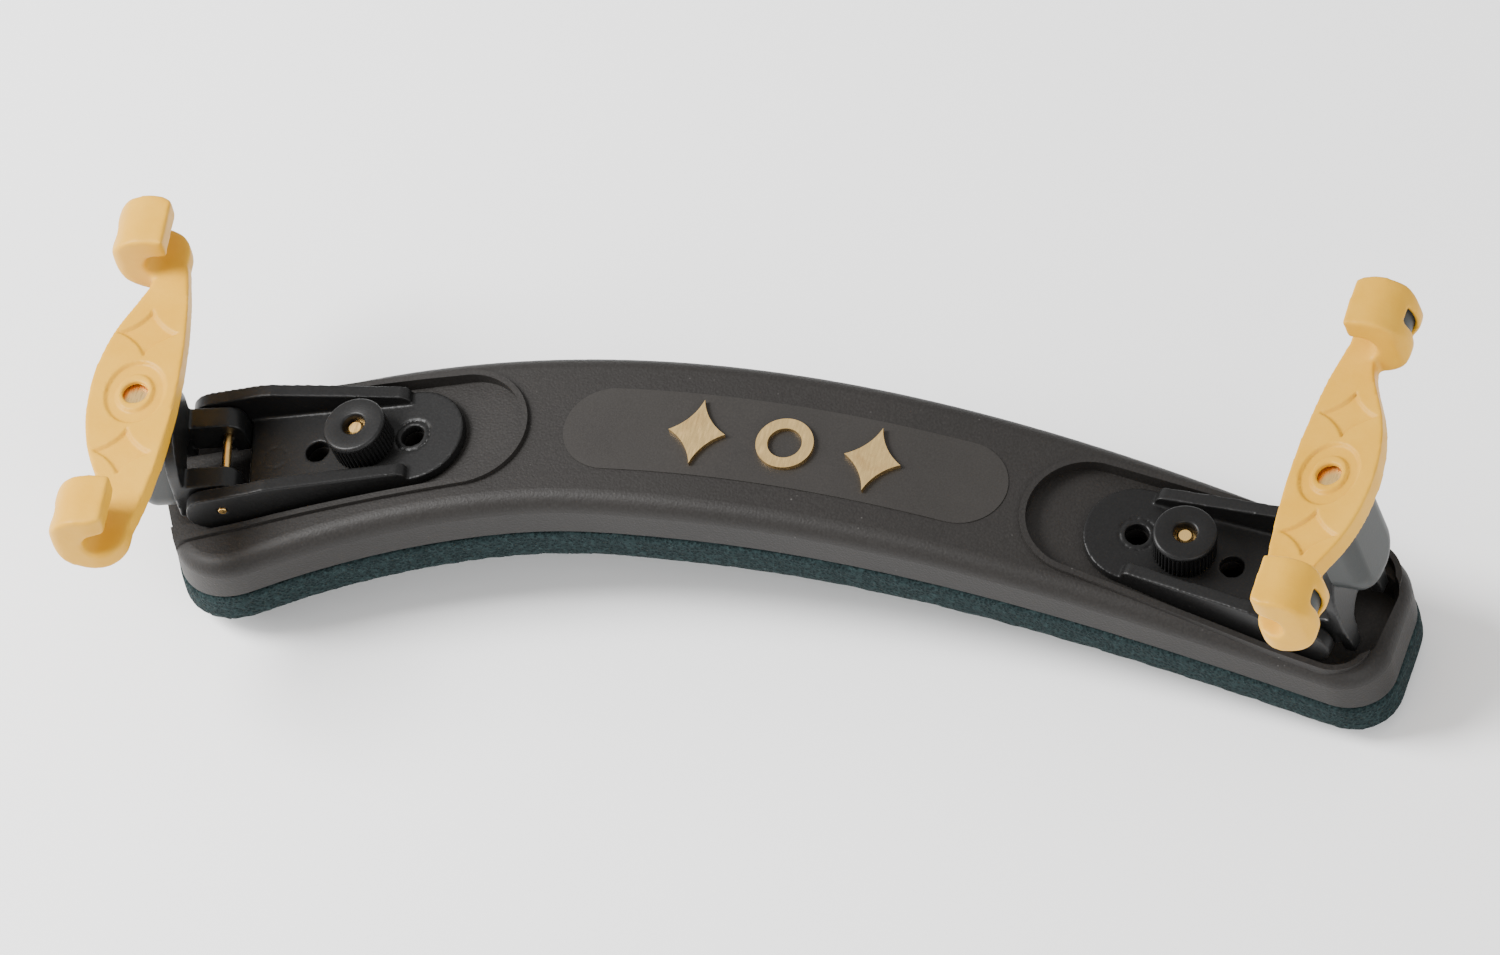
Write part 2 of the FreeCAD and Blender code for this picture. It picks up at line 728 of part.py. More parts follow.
# ---------------------------------------------------------------- assembly
def build():
    places = [bracket_frame(0.0, -1), bracket_frame(stud_span, 1)]
    recess_ends = [left_overhang + 6.0, right_overhang - base_wall]
    pocket_low = pocket_floor - base_depth
    pockets = [(left_overhang + 12.0, pocket_low), (pocket_end, pocket_low)]
    parts = {
        "base_shell": make_base(places, recess_ends, pockets),
        "foam_pad": make_foam(),
        "foam_adhesive": make_adhesive(places, pockets),
        "centre_panel": make_panel(),
        "gold_ornament": make_ornaments(),
    }
    bracket = make_bracket()
    sides = [("left", places[0], left_lean, left_height, left_turn),
             ("right", places[1], right_lean, right_height, right_turn)]
    for side, place, lean, height, turn in sides:
        parts["bracket_" + side] = placed(bracket, place)
        parts["hinge_pin_" + side] = placed(make_pin(), place)
        parts["clamp_stud_" + side] = placed(make_stud(), place)
        parts["thumb_nut_" + side] = placed(make_nut(), place)
        parts["nut_insert_" + side] = placed(make_nut_insert(), place)
        leg_place = place.multiply(leg_frame(lean))
        parts["knuckle_" + side] = placed(make_knuckle(), leg_place)
        parts["leg_bar_" + side] = placed(make_leg(height), leg_place)
        axis = V(leg_offset, 0, 0)
        spin = FreeCAD.Placement(V(0, 0, 0), FreeCAD.Rotation(V(0, 0, 1), turn), axis)
        fork_place = leg_place.multiply(spin)
        parts["leg_screw_" + side] = placed(make_leg_screw(height), fork_place)
        parts["fork_core_" + side] = placed(make_fork_core(height), fork_place)
        parts["fork_cover_" + side] = placed(make_fork_cover(height), fork_place)
    return parts, sides


def origin_shift(parts):
    """Moves the middle of the assembly's underside to the origin."""
    bounds = FreeCAD.BoundBox()
    for shape in parts.values():
        bounds.add(shape.optimalBoundingBox())
    return V(-bounds.Center.x, -bounds.Center.y, -bounds.ZMin)


parts, sides = build()
shift = origin_shift(parts)
os.makedirs("parts", exist_ok=True)
for name, shape in parts.items():
    shape.translate(shift)
    shape.exportStep("parts/" + name + ".step")
    print(name, "valid", shape.isValid(), "solids", len(shape.Solids), "volume", round(shape.Volume, 1))
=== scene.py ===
import json
import math

import bmesh
import bpy
import numpy as np
from mathutils import Matrix, Vector, noise


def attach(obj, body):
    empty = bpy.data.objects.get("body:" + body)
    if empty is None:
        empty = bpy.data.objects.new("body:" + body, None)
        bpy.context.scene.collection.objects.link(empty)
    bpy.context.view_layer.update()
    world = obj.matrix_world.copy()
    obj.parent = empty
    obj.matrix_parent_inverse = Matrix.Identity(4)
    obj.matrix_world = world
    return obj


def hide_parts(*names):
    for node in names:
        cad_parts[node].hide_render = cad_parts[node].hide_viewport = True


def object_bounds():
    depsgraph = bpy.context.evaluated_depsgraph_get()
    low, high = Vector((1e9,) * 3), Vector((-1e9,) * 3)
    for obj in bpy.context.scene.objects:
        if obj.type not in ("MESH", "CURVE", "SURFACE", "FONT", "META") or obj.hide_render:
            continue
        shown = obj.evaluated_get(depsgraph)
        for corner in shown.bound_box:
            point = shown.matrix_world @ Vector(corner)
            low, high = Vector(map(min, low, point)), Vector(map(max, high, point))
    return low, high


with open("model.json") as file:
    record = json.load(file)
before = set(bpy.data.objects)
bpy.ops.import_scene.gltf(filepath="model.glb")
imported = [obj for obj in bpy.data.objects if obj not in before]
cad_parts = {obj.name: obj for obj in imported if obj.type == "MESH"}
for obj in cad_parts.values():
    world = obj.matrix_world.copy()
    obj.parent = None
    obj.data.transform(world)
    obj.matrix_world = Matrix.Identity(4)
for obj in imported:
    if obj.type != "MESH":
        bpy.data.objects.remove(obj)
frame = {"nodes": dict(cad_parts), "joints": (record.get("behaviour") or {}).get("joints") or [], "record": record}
cad_bounds = [list(corner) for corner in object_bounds()]

MM = 0.001
SIDES = ("left", "right")
joints = {joint["name"]: joint for joint in frame["joints"]}
mounts = {mount["name"]: mount for mount in frame["record"]["mounts"]}


# ---------------------------------------------------------------- camera, light and floor
VIEW_RIGHT = Vector((0.959, 0.240, -0.1512))
VIEW_UP = Vector((-0.1178, 0.822, 0.5569))
VIEW_DISTANCE = 5.0
FRAME_WIDTH = 0.2669             # width of the view at the object
STUD_TO_CENTRE = (0.06856, -0.00608)   # from the left stud to the view's centre, right and up
NUT_HEIGHT = 6.1 * MM             # nut's face above the floor plate's top
SKY_STRENGTH = 0.85
FLOOR_HALF = 3.0
LIGHTS = (                        # name, direction from the object, distance, disc size, power
    ("key", (-0.85, -0.15, 1.0), 0.9, 0.40, 15.0),
    ("fill", (0.9, -0.7, 0.7), 1.0, 0.7, 5.0),
    ("rim", (-0.9, -0.2, 0.45), 0.9, 0.35, 4.0),
)


def left_stud():
    """The left stud's axis at the top of its bracket's floor plate."""
    nut = joints["nut_turn_left"]
    return Vector(nut["pos_m"]) - Vector(nut["axis"]) * NUT_HEIGHT


def make_camera():
    right = VIEW_RIGHT.normalized()
    up = (VIEW_UP - right * VIEW_UP.dot(right)).normalized()
    back = right.cross(up)
    target = left_stud() + right * STUD_TO_CENTRE[0] + up * STUD_TO_CENTRE[1]
    data = bpy.data.cameras.new("camera")
    data.sensor_width = 36.0
    data.lens = data.sensor_width * VIEW_DISTANCE / FRAME_WIDTH
    camera = bpy.data.objects.new("camera", data)
    turn = Matrix((right, up, back)).transposed().to_4x4()
    camera.matrix_world = Matrix.Translation(target + back * VIEW_DISTANCE) @ turn
    bpy.context.scene.collection.objects.link(camera)
    bpy.context.scene.camera = camera
    return target


def add_area_light(name, target, direction, distance, size, power):
    data = bpy.data.lights.new(name, "AREA")
    data.shape = "DISK"
    data.size = size
    data.energy = power
    light = bpy.data.objects.new(name, data)
    away = Vector(direction).normalized()
    light.location = target + away * distance
    light.rotation_euler = away.to_track_quat("Z", "Y").to_euler()
    bpy.context.scene.collection.objects.link(light)


def make_studio(target):
    world = bpy.data.worlds.new("studio")
    world.use_nodes = True
    world.node_tree.nodes["Background"].inputs["Color"].default_value = (1.0, 1.0, 1.0, 1.0)
    world.node_tree.nodes["Background"].inputs["Strength"].default_value = SKY_STRENGTH
    bpy.context.scene.world = world
    for name, direction, distance, size, power in LIGHTS:
        add_area_light(name, target, direction, distance, size, power)
    mesh = bpy.data.meshes.new("floor")
    half = FLOOR_HALF
    level = cad_bounds[0][2]
    corners = [(-half, -half, level), (half, -half, level), (half, half, level), (-half, half, level)]
    mesh.from_pydata(corners, [], [(0, 1, 2, 3)])
    floor = bpy.data.objects.new("floor", mesh)
    bpy.context.scene.collection.objects.link(floor)
    material = bpy.data.materials.new("pale_floor")
    material.use_nodes = True
    shader = material.node_tree.nodes["Principled BSDF"]
    shader.inputs["Base Color"].default_value = (0.97, 0.97, 0.97, 1.0)
    shader.inputs["Roughness"].default_value = 0.9
    mesh.materials.append(material)


# ---------------------------------------------------------------- shader groups
def make_group(name, inputs, outputs):
    """An empty shader group with its named sockets; returns the tree and its two end nodes."""
    tree = bpy.data.node_groups.new(name, "ShaderNodeTree")
    for label, kind, value in inputs:
        socket = tree.interface.new_socket(label, in_out="INPUT", socket_type=kind)
        socket.default_value = value
    for label, kind in outputs:
        tree.interface.new_socket(label, in_out="OUTPUT", socket_type=kind)
    return tree, tree.nodes.new("NodeGroupInput"), tree.nodes.new("NodeGroupOutput")


def link(tree, source, target):
    tree.links.new(source, target)


def add_noise(tree, vector, scale, detail=3.0, roughness=0.55):
    node = tree.nodes.new("ShaderNodeTexNoise")
    node.inputs["Detail"].default_value = detail
    node.inputs["Roughness"].default_value = roughness
    link(tree, vector, node.inputs["Vector"])
    if isinstance(scale, (int, float)):
        node.inputs["Scale"].default_value = scale
    else:
        link(tree, scale, node.inputs["Scale"])
    return node.outputs["Fac"]


def add_range(tree, value, low, high, out_low=0.0, out_high=1.0):
    node = tree.nodes.new("ShaderNodeMapRange")
    node.inputs["From Min"].default_value = low
    node.inputs["From Max"].default_value = high
    node.inputs["To Min"].default_value = out_low
    node.inputs["To Max"].default_value = out_high
    link(tree, value, node.inputs["Value"])
    return node.outputs["Result"]


def add_mix(tree, factor, first, second):
    node = tree.nodes.new("ShaderNodeMix")
    node.data_type = "RGBA"
    link(tree, factor, node.inputs["Factor"])
    for socket, value in ((node.inputs[6], first), (node.inputs[7], second)):
        if isinstance(value, tuple):
            socket.default_value = value
        else:
            link(tree, value, socket)
    return node.outputs[2]


def add_maths(tree, operation, first, second):
    node = tree.nodes.new("ShaderNodeMath")
    node.operation = operation
    for socket, value in zip(node.inputs, (first, second)):
        if isinstance(value, (int, float)):
            socket.default_value = value
        else:
            link(tree, value, socket)
    return node.outputs[0]


def add_bump(tree, height, distance, strength=1.0):
    node = tree.nodes.new("ShaderNodeBump")
    node.inputs["Strength"].default_value = strength
    if isinstance(distance, (int, float)):
        node.inputs["Distance"].default_value = distance
    else:
        link(tree, distance, node.inputs["Distance"])
    link(tree, height, node.inputs["Height"])
    return node.outputs["Normal"]


COLOR = "NodeSocketColor"
FLOAT = "NodeSocketFloat"
VECTOR = "NodeSocketVector"
SURFACE_OUTPUTS = [("Color", COLOR), ("Roughness", FLOAT), ("Normal", VECTOR)]


def moulded_grain_group():
    """Spark-eroded grain of moulded plastic with a painted highlight on its raised grain, pale dust specks and a
    slow change of shade.
    """
    tree, given, out = make_group("moulded_grain", [
        ("Color", COLOR, (0.05, 0.045, 0.04, 1.0)), ("Speck Color", COLOR, (0.07, 0.065, 0.06, 1.0)),
        ("Painted Grain Highlight", COLOR, (0.030, 0.028, 0.026, 1.0)),
        ("Grain Scale", FLOAT, 2500.0), ("Grain Depth", FLOAT, 0.00006), ("Speck Share", FLOAT, 0.7),
        ("Roughness Low", FLOAT, 0.45), ("Roughness High", FLOAT, 0.62)], SURFACE_OUTPUTS)
    place = tree.nodes.new("ShaderNodeTexCoord").outputs["Object"]
    grain = add_noise(tree, place, given.outputs["Grain Scale"], 2.0, 0.5)
    shade = add_noise(tree, place, 45.0, 3.0, 0.6)
    specks = tree.nodes.new("ShaderNodeTexVoronoi")
    specks.inputs["Scale"].default_value = 700.0
    link(tree, place, specks.inputs["Vector"])
    speck = add_range(tree, specks.outputs["Distance"], 0.05, 0.16, 1.0, 0.0)
    cluster = add_range(tree, add_noise(tree, place, 260.0), 0.60, 0.72)
    speck = add_maths(tree, "MULTIPLY", speck, cluster)
    speck = add_maths(tree, "MULTIPLY", speck, given.outputs["Speck Share"])
    darker = tree.nodes.new("ShaderNodeHueSaturation")
    darker.inputs["Value"].default_value = 0.80
    link(tree, given.outputs["Color"], darker.inputs["Color"])
    shading = add_range(tree, shade, 0.3, 0.7)
    mottled = add_mix(tree, shading, darker.outputs["Color"], given.outputs["Color"])
    # painted highlight: the grain's raised places are mixed up to 35 % towards a lighter colour
    grain_highlighted = add_mix(tree, add_range(tree, grain, 0.35, 0.75, 0.0, 0.35), mottled,
                      given.outputs["Painted Grain Highlight"])
    link(tree, add_mix(tree, speck, grain_highlighted, given.outputs["Speck Color"]), out.inputs["Color"])
    rough = tree.nodes.new("ShaderNodeMapRange")
    link(tree, grain, rough.inputs["Value"])
    link(tree, given.outputs["Roughness Low"], rough.inputs["To Min"])
    link(tree, given.outputs["Roughness High"], rough.inputs["To Max"])
    link(tree, rough.outputs["Result"], out.inputs["Roughness"])
    link(tree, add_bump(tree, grain, given.outputs["Grain Depth"]), out.inputs["Normal"])
    return tree


def foam_group():
    """Open-cell foam: two sizes of pore with painted shade inside them, on a blue-green skin whose raised crests
    carry a painted highlight.
    """
    tree, given, out = make_group("open_cell_foam", [
        ("Color", COLOR, (0.03, 0.06, 0.06, 1.0)), ("Painted Pore Shade", COLOR, (0.004, 0.010, 0.011, 1.0)),
        ("Pore Scale", FLOAT, 1500.0), ("Pore Depth", FLOAT, 0.0004)], SURFACE_OUTPUTS)
    place = tree.nodes.new("ShaderNodeTexCoord").outputs["Object"]
    cells = tree.nodes.new("ShaderNodeTexVoronoi")
    cells.feature = "F1"
    link(tree, given.outputs["Pore Scale"], cells.inputs["Scale"])
    link(tree, place, cells.inputs["Vector"])
    pore = add_range(tree, cells.outputs["Distance"], 0.15, 0.62)
    clumps = add_noise(tree, place, 900.0, 3.0, 0.7)
    height = add_maths(tree, "MULTIPLY", pore, add_range(tree, clumps, 0.3, 0.7, 0.4, 1.0))
    # painted highlight: where the clumps raise the surface, its colour is mixed towards a lighter one
    painted_crest_light = tree.nodes.new("ShaderNodeHueSaturation")
    painted_crest_light.inputs["Value"].default_value = 1.7
    painted_crest_light.inputs["Saturation"].default_value = 0.9
    link(tree, given.outputs["Color"], painted_crest_light.inputs["Color"])
    crest_light_mask = add_range(tree, clumps, 0.45, 0.72)
    skin = add_mix(tree, crest_light_mask, given.outputs["Color"], painted_crest_light.outputs["Color"])
    # painted shade: the pore hollows are mixed towards a near-black colour
    link(tree, add_mix(tree, height, given.outputs["Painted Pore Shade"], skin), out.inputs["Color"])
    link(tree, add_range(tree, clumps, 0.2, 0.8, 0.82, 0.97), out.inputs["Roughness"])
    link(tree, add_bump(tree, height, given.outputs["Pore Depth"]), out.inputs["Normal"])
    return tree


def soft_rubber_group():
    """Waxy soft rubber: cloudy colour, a faint skin texture and handling marks."""
    tree, given, out = make_group("soft_rubber", [
        ("Color", COLOR, (0.66, 0.44, 0.17, 1.0)), ("Cloud Color", COLOR, (0.76, 0.56, 0.28, 1.0)),
        ("Skin Depth", FLOAT, 0.00004)], SURFACE_OUTPUTS)
    place = tree.nodes.new("ShaderNodeTexCoord").outputs["Object"]
    cloud = add_noise(tree, place, 70.0, 4.0, 0.6)
    fine = add_noise(tree, place, 1100.0, 3.0, 0.6)
    marks = add_noise(tree, place, 190.0, 5.0, 0.65)
    clouding = add_range(tree, cloud, 0.35, 0.65)
    mixed = add_mix(tree, clouding, given.outputs["Color"], given.outputs["Cloud Color"])
    link(tree, mixed, out.inputs["Color"])
    link(tree, add_range(tree, marks, 0.35, 0.70, 0.40, 0.56), out.inputs["Roughness"])
    link(tree, add_bump(tree, fine, given.outputs["Skin Depth"]), out.inputs["Normal"])
    return tree


def turned_metal_group():
    """Turned or brushed metal: fine streaks, slight tarnish in patches."""
    tree, given, out = make_group("turned_metal", [
        ("Color", COLOR, (0.85, 0.66, 0.36, 1.0)), ("Tarnish Color", COLOR, (0.55, 0.36, 0.15, 1.0)),
        ("Streak Depth", FLOAT, 0.00002)], SURFACE_OUTPUTS)
    place = tree.nodes.new("ShaderNodeTexCoord").outputs["Object"]
    stretch = tree.nodes.new("ShaderNodeMapping")
    stretch.inputs["Scale"].default_value = (1.0, 0.15, 1.0)
    link(tree, place, stretch.inputs["Vector"])
    streak = add_noise(tree, stretch.outputs["Vector"], 2600.0, 3.0, 0.6)
    patch = add_noise(tree, place, 240.0, 4.0, 0.6)
    mixed = add_mix(tree, add_range(tree, patch, 0.52, 0.78, 0.0, 0.6), given.outputs["Color"],
                    given.outputs["Tarnish Color"])
    link(tree, mixed, out.inputs["Color"])
    link(tree, add_range(tree, streak, 0.3, 0.7, 0.20, 0.40), out.inputs["Roughness"])
    link(tree, add_bump(tree, streak, given.outputs["Streak Depth"]), out.inputs["Normal"])
    return tree


GROUPS = {
    "moulded_grain": moulded_grain_group(),
    "open_cell_foam": foam_group(),
    "soft_rubber": soft_rubber_group(),
    "turned_metal": turned_metal_group(),
}


def make_material(name, group, values, fixed):
    """A Principled material fed by one surface group; fixed values go on the shader's own sockets."""
    material = bpy.data.materials.new(name)
    material.use_nodes = True
    tree = material.node_tree
    shader = tree.nodes["Principled BSDF"]
    for socket, value in fixed.items():
        shader.inputs[socket].default_value = value
    surface = tree.nodes.new("ShaderNodeGroup")
    surface.node_tree = GROUPS[group]
    for socket, value in values.items():
        surface.inputs[socket].default_value = value
    link(tree, surface.outputs["Color"], shader.inputs["Base Color"])
    link(tree, surface.outputs["Roughness"], shader.inputs["Roughness"])
    link(tree, surface.outputs["Normal"], shader.inputs["Normal"])
    return material


def rgb(red, green, blue):
    return (red, green, blue, 1.0)


# The grain highlight colours below are painted highlights on each finish's raised grain.
FINISHES = {
    "base_plastic": make_material("base_plastic", "moulded_grain", {
        "Color": rgb(0.0150, 0.0132, 0.0120), "Speck Color": rgb(0.10, 0.095, 0.09), "Grain Depth": 0.00007,
        "Grain Scale": 2300.0, "Roughness Low": 0.46, "Roughness High": 0.60}, {"Specular IOR Level": 0.24}),
    "panel_plastic": make_material("panel_plastic", "moulded_grain", {
        "Color": rgb(0.0250, 0.0225, 0.0205), "Painted Grain Highlight": rgb(0.038, 0.035, 0.032),
        "Speck Share": 0.15, "Grain Depth": 0.00002, "Grain Scale": 3200.0,
        "Roughness Low": 0.42, "Roughness High": 0.52}, {"Specular IOR Level": 0.24}),
    "bracket_plastic": make_material("bracket_plastic", "moulded_grain", {
        "Color": rgb(0.0062, 0.0060, 0.0060), "Painted Grain Highlight": rgb(0.015, 0.0145, 0.014), "Speck Share": 0.3,
        "Grain Depth": 0.00002, "Grain Scale": 2600.0, "Roughness Low": 0.36, "Roughness High": 0.48},
        {"Specular IOR Level": 0.25}),
    "nut_plastic": make_material("nut_plastic", "moulded_grain", {
        "Color": rgb(0.0060, 0.0058, 0.0058), "Painted Grain Highlight": rgb(0.014, 0.014, 0.014), "Speck Share": 0.25,
        "Grain Depth": 0.00002, "Grain Scale": 3000.0, "Roughness Low": 0.36, "Roughness High": 0.48},
        {"Specular IOR Level": 0.25}),
    "knuckle_plastic": make_material("knuckle_plastic", "moulded_grain", {
        "Color": rgb(0.0050, 0.0052, 0.0052), "Painted Grain Highlight": rgb(0.012, 0.012, 0.012), "Speck Share": 0.2,
        "Grain Depth": 0.00002, "Grain Scale": 2600.0, "Roughness Low": 0.30, "Roughness High": 0.42},
        {"Specular IOR Level": 0.34}),
    "leg_plastic": make_material("leg_plastic", "moulded_grain", {
        "Color": rgb(0.0150, 0.0180, 0.0176), "Painted Grain Highlight": rgb(0.026, 0.030, 0.029), "Speck Share": 0.1,
        "Grain Depth": 0.000015, "Grain Scale": 2600.0, "Roughness Low": 0.38, "Roughness High": 0.48},
        {"Specular IOR Level": 0.38}),
    "core_plastic": make_material("core_plastic", "moulded_grain", {
        "Color": rgb(0.0220, 0.0280, 0.0290), "Painted Grain Highlight": rgb(0.036, 0.042, 0.042), "Speck Share": 0.1,
        "Grain Depth": 0.00002, "Grain Scale": 2600.0, "Roughness Low": 0.45, "Roughness High": 0.55},
        {"Specular IOR Level": 0.36}),
    "tan_rubber": make_material("tan_rubber", "soft_rubber", {
        "Color": rgb(0.61, 0.305, 0.010), "Cloud Color": rgb(0.66, 0.350, 0.024)},
        {"Specular IOR Level": 0.24, "Subsurface Weight": 0.04, "Subsurface Scale": 0.0015,
         "Subsurface Radius": (1.0, 0.55, 0.25)}),
    "foam": make_material("foam", "open_cell_foam", {
        "Color": rgb(0.0135, 0.0260, 0.0270)}, {"Specular IOR Level": 0.15}),
    "adhesive": make_material("adhesive", "soft_rubber", {
        "Color": rgb(0.012, 0.013, 0.013), "Cloud Color": rgb(0.020, 0.022, 0.021)},
        {"Specular IOR Level": 0.3}),
    "brass": make_material("brass", "turned_metal", {
        "Color": rgb(0.92, 0.60, 0.22), "Tarnish Color": rgb(0.60, 0.32, 0.10)}, {"Metallic": 1.0}),
    "gilt": make_material("gilt", "turned_metal", {
        "Color": rgb(0.84, 0.58, 0.25), "Tarnish Color": rgb(0.56, 0.33, 0.13), "Streak Depth": 0.00004},
        {"Metallic": 1.0}),
}
NODE_FINISH = {entry["node"]: entry["material_slot"] for entry in frame["record"]["subparts"]}


def finish_cad_nodes():
    for name, node in frame["nodes"].items():
        node.data.materials.clear()
        node.data.materials.append(FINISHES[NODE_FINISH[name]])


# ---------------------------------------------------------------- mesh tools
def add_piece(name, mesh):
    piece = bpy.data.objects.new(name, mesh)
    bpy.context.scene.collection.objects.link(piece)
    return piece


def merged_copy(node, name):
    """A copy of a CAD node's mesh with its loose triangles joined up."""
    mesh = frame["nodes"][node].data.copy()
    mesh.name = name
    work = bmesh.new()
    work.from_mesh(mesh)
    bmesh.ops.remove_doubles(work, verts=work.verts, dist=0.000002)
    work.to_mesh(mesh)
    work.free()
    return mesh


def apply_modifiers(piece):
    """Replaces the piece's mesh with what its modifiers make of it, and removes them."""
    bpy.context.view_layer.update()
    evaluated = piece.evaluated_get(bpy.context.evaluated_depsgraph_get())
    mesh = bpy.data.meshes.new_from_object(evaluated)
    piece.modifiers.clear()
    piece.data = mesh


def soften(node, name, voxel, passes):
    """A copy of a moulded part with its edges rounded as the mould leaves them."""
    piece = add_piece(name, merged_copy(node, name))
    remesh = piece.modifiers.new("remesh", "REMESH")
    remesh.mode = "VOXEL"
    remesh.voxel_size = voxel
    smooth = piece.modifiers.new("smooth", "SMOOTH")
    smooth.factor = 0.5
    smooth.iterations = passes
    apply_modifiers(piece)
    for polygon in piece.data.polygons:
        polygon.use_smooth = True
    return piece


def read_points(mesh):
    points = np.empty(len(mesh.vertices) * 3)
    mesh.vertices.foreach_get("co", points)
    return points.reshape(-1, 3)


def write_points(mesh, points):
    mesh.vertices.foreach_set("co", points.ravel())
    mesh.update()


def read_normals(mesh):
    normals = np.empty(len(mesh.vertices) * 3)
    mesh.vertices.foreach_get("normal", normals)
    return normals.reshape(-1, 3)


def finish_piece(piece, finish, body, *nodes):
    piece.data.materials.clear()
    piece.data.materials.append(FINISHES[finish])
    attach(piece, body)
    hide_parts(*nodes)


# ---------------------------------------------------------------- foam pad
FOAM_VOXEL = 0.9 * MM
FOAM_PITTING = 0.10 * MM
COARSE_PITS = 420.0              # scale of the noise that makes them
FINE_PITS = 1100.0
COARSE_SHARE = 0.6


def make_foam_pad():
    """Cut foam: soft edges and a surface pitted by its open cells."""
    piece = soften("foam_pad", "foam_pad_porous", FOAM_VOXEL, 3)
    points = read_points(piece.data)
    normals = read_normals(piece.data)
    depth = np.empty(len(points))
    for i, point in enumerate(points):
        place = Vector(point)
        coarse = noise.noise(place * COARSE_PITS)
        fine = noise.noise(place * FINE_PITS)
        depth[i] = -abs(coarse) * COARSE_SHARE - max(0.0, fine)
    write_points(piece.data, points + normals * (depth * FOAM_PITTING)[:, None])
    finish_piece(piece, "foam", "base", "foam_pad")


# ---------------------------------------------------------------- rubber forks
COVER_VOXEL = 0.30 * MM
COVER_PASSES = 5
FOOT_PASSES = 22
TOP_BAND = 0.35 * MM             # a place this near the leaf's top level counts as on it
TOP_FACING = 0.6
FOOT_STARTS = 21.0 * MM          # from the leg's axis, where the rounder feet begin
FOOT_BLEND = 5.0 * MM
ENGRAVING_DEPTH = 0.60 * MM
ENGRAVING_EDGE = 0.30 * MM
RING_INNER = (3.3 * MM, 4.0 * MM)     # oval band round the hole: half sizes outward and across
RING_OUTER = (5.4 * MM, 6.6 * MM)
LOZENGE_HALF = (5.6 * MM, 5.2 * MM)
LOZENGE_STATION = 13.0 * MM
LOZENGE_HOLLOW = 0.72            # below 1 the sides curve inward


def fork_axes(side):
    """A point on the leaf's top over the leg's axis, and the outward, across and along directions."""
    along = Vector(joints["fork_turn_" + side]["axis"]).normalized()
    front = mounts["hook_" + side + "_front"]
    back = mounts["hook_" + side + "_back"]
    across = Vector(back["pos_m"]) - Vector(front["pos_m"])
    across = (across - along * across.dot(along)).normalized()
    outward = -Vector(front["axis"])
    outward = (outward - along * outward.dot(along)).normalized()
    centre = Vector(joints["fork_turn_" + side]["pos_m"])
    seat = Vector(mounts["leaf_seat_" + side]["pos_m"])
    return centre + along * (seat - centre).dot(along), outward, across, along


def oval_depth(out, across, halves):
    """How far inside an oval each place is, in metres; negative outside it."""
    size = np.sqrt((out / halves[0]) ** 2 + (across / halves[1]) ** 2)
    return (1.0 - size) * min(halves)


def lozenge_depth(out, across, halves, hollow):
    """Roughly how far inside a hollow-sided lozenge each place is."""
    total = np.abs(out / halves[0]) ** hollow + np.abs(across / halves[1]) ** hollow
    return (1.0 - total ** (1.0 / hollow)) * min(halves) * 0.7


def engraving(out, across):
    """Share of the full depth at each place on the leaf: an oval band and two lozenges."""
    band = np.minimum(oval_depth(out, across, RING_OUTER), -oval_depth(out, across, RING_INNER))
    marks = lozenge_depth(out, np.abs(across) - LOZENGE_STATION, LOZENGE_HALF, LOZENGE_HOLLOW)
    inside = np.maximum(band, marks)
    share = np.clip(inside / ENGRAVING_EDGE + 0.5, 0.0, 1.0)
    return share * share * (3.0 - 2.0 * share)


def local_places(points, axes):
    """Points measured outward, across and along from the leaf's middle."""
    centre, outward, across, along = (np.array(axis) for axis in axes)
    spread = points - centre
    return spread @ outward, spread @ across, spread @ along


def smooth_feet(piece, axes, passes):
    """Rounds the two feet more than the leaf."""
    across = np.abs(local_places(read_points(piece.data), axes)[1])
    weights = np.clip((across - FOOT_STARTS) / FOOT_BLEND, 0.0, 1.0)
    group = piece.vertex_groups.new(name="feet")
    for index in np.nonzero(weights)[0]:
        group.add([int(index)], float(weights[index]), "REPLACE")
    smooth = piece.modifiers.new("feet", "SMOOTH")
    smooth.vertex_group = "feet"
    smooth.factor = 0.5
    smooth.iterations = passes
    apply_modifiers(piece)
    piece.vertex_groups.clear()


def make_fork_cover(side):
    """Moulded rubber: round feet, softened leaf edges and the shallow pattern in the leaf's top."""
    piece = soften("fork_cover_" + side, "fork_rubber_" + side, COVER_VOXEL, COVER_PASSES)
    axes = fork_axes(side)
    smooth_feet(piece, axes, FOOT_PASSES)
    points = read_points(piece.data)
    out, across, level = local_places(points, axes)
    facing = read_normals(piece.data) @ np.array(axes[3])
    on_top = (np.abs(level) < TOP_BAND) & (facing > TOP_FACING)
    depth = engraving(out, across) * on_top * ENGRAVING_DEPTH
    write_points(piece.data, points - np.outer(depth, np.array(axes[3])))
    finish_piece(piece, "tan_rubber", "fork_" + side, "fork_cover_" + side)


BRACKET_VOXEL = 0.25 * MM
KNUCKLE_VOXEL = 0.28 * MM


def make_moulded_parts():
    """Brackets and knuckles, each with its moulded edges softened."""
    for side in SIDES:
        bracket = soften("bracket_" + side, "bracket_moulding_" + side, BRACKET_VOXEL, 2)
        finish_piece(bracket, "bracket_plastic", "base", "bracket_" + side)
        knuckle = soften("knuckle_" + side, "knuckle_moulding_" + side, KNUCKLE_VOXEL, 3)
        finish_piece(knuckle, "knuckle_plastic", "knuckle_" + side, "knuckle_" + side)


# ---------------------------------------------------------------- thumb nuts
NUT_RADIUS = 5.75 * MM
NUT_BOTTOM = 0.1 * MM            # above the bracket's floor plate
NUT_LAND = 1.0 * MM              # smooth band above the ribs
NUT_BORE = 2.1 * MM
NUT_EDGE = 0.6 * MM
RIB_COUNT = 44
RIB_RADIUS = 0.27 * MM


